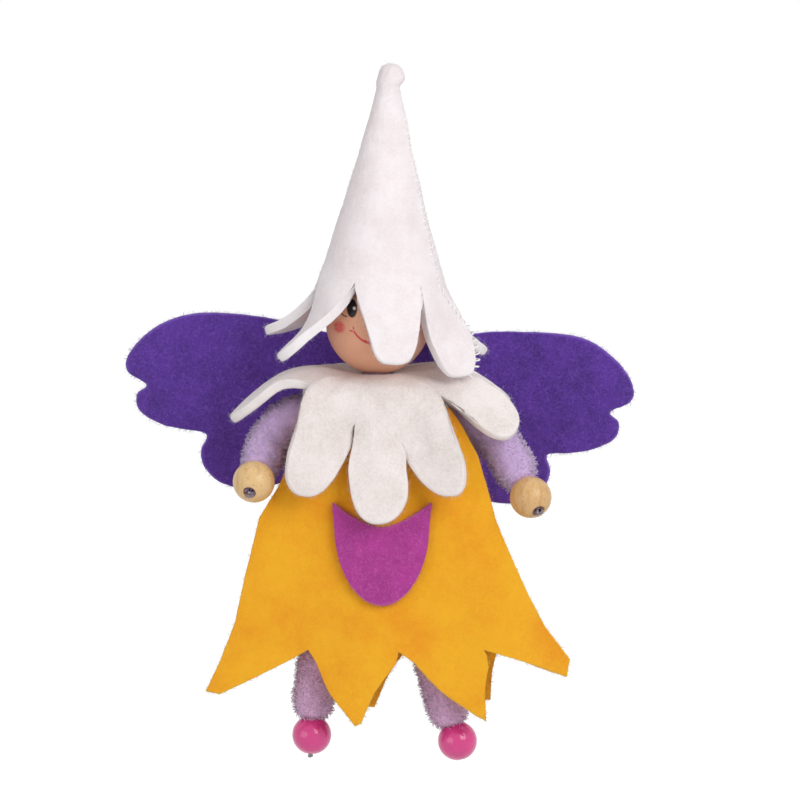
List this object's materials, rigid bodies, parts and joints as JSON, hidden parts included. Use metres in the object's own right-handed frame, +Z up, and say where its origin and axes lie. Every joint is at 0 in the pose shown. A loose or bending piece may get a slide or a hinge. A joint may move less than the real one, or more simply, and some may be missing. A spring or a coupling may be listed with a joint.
{
  "type": "felt fairy doll",
  "caption": "Small hanging fairy doll of cut wool felt on chenille stems, with a petal hat, flower collar, toothed dress, butterfly wings and wooden bead head, hands and feet.",
  "frame": {"origin": "the hanging point at the very tip of the hat, where the doll is held up; everything else lies below it", "axes": "+Z up along the hanging doll, the doll faces -Y, +X to the right of someone who looks at its face"},
  "size_m": [0.1, 0.0387, 0.1346],
  "materials": {
    "painted_skin": "flesh-coloured satin paint on a turned wooden bead",
    "white_felt": "matt wool felt, fuzzy",
    "yellow_felt": "matt wool felt, fuzzy",
    "magenta_felt": "matt wool felt, fuzzy",
    "purple_felt": "matt wool felt, fuzzy",
    "lilac_pile": "soft chenille pile",
    "mauve_pile": "soft chenille pile",
    "steel_wire": "bright twisted wire",
    "bare_wood": "clear lacquered turned wood",
    "pink_paint": "glossy pink paint on a turned wooden bead"
  },
  "bodies": {
    "head": {"head_bead": "painted_skin", "hat_felt": "white_felt"},
    "torso": {"collar_felt": "white_felt", "dress_front": "yellow_felt", "dress_back": "yellow_felt", "pocket_felt": "magenta_felt", "wings_felt": "purple_felt", "spine_wire": "steel_wire", "neck_pile": "mauve_pile", "torso_pile": "mauve_pile", "arm_stem_wrap": "lilac_pile"},
    "arm_left": {"arm_pile_left": "lilac_pile", "arm_wire_left": "steel_wire"},
    "hand_left": {"hand_bead_left": "bare_wood"},
    "arm_right": {"arm_pile_right": "lilac_pile", "arm_wire_right": "steel_wire"},
    "hand_right": {"hand_bead_right": "bare_wood"},
    "leg_left": {"leg_pile_left": "mauve_pile", "leg_wire_left": "steel_wire"},
    "foot_left": {"foot_bead_left": "pink_paint"},
    "leg_right": {"leg_pile_right": "mauve_pile", "leg_wire_right": "steel_wire"},
    "foot_right": {"foot_bead_right": "pink_paint"}
  },
  "joints": [
    {"name": "head_turn", "type": "hinge", "parent": "head", "child": "torso", "pos_m": [-0.00214, 0, -0.0599], "axis": [0, 0, 1], "range_deg": [-12, 12]},
    {"name": "shoulder_left", "type": "hinge", "parent": "torso", "child": "arm_left", "pos_m": [-0.01114, 0.0004, -0.0675], "axis": [-1, 0, 0], "range_deg": [-5, 28]},
    {"name": "shoulder_right", "type": "hinge", "parent": "torso", "child": "arm_right", "pos_m": [0.00686, 0.0004, -0.0675], "axis": [-1, 0, 0], "range_deg": [-5, 28]},
    {"name": "hand_left_twist", "type": "hinge", "parent": "arm_left", "child": "hand_left", "pos_m": [-0.02574, -0.01, -0.0793], "axis": [-0.1992, -0.8678, -0.4552], "continuous": true},
    {"name": "hand_right_twist", "type": "hinge", "parent": "arm_right", "child": "hand_right", "pos_m": [0.02706, -0.0082, -0.0825], "axis": [0.3754, -0.694, -0.6144], "continuous": true},
    {"name": "hip_left", "type": "hinge", "parent": "torso", "child": "leg_left", "pos_m": [-0.00574, 0.0004, -0.0983], "axis": [0, 1, 0], "range_deg": [-8, 25]},
    {"name": "hip_right", "type": "hinge", "parent": "torso", "child": "leg_right", "pos_m": [0.00146, 0.0004, -0.0983], "axis": [0, -1, 0], "range_deg": [-8, 25]},
    {"name": "foot_left_twist", "type": "hinge", "parent": "leg_left", "child": "foot_left", "pos_m": [-0.01494, 0.0002, -0.1291], "axis": [-0.0651, -0.0217, -0.9976], "continuous": true},
    {"name": "foot_right_twist", "type": "hinge", "parent": "leg_right", "child": "foot_right", "pos_m": [0.01306, 0.0002, -0.1305], "axis": [0.2893, -0.0223, -0.957], "continuous": true}
  ]
}
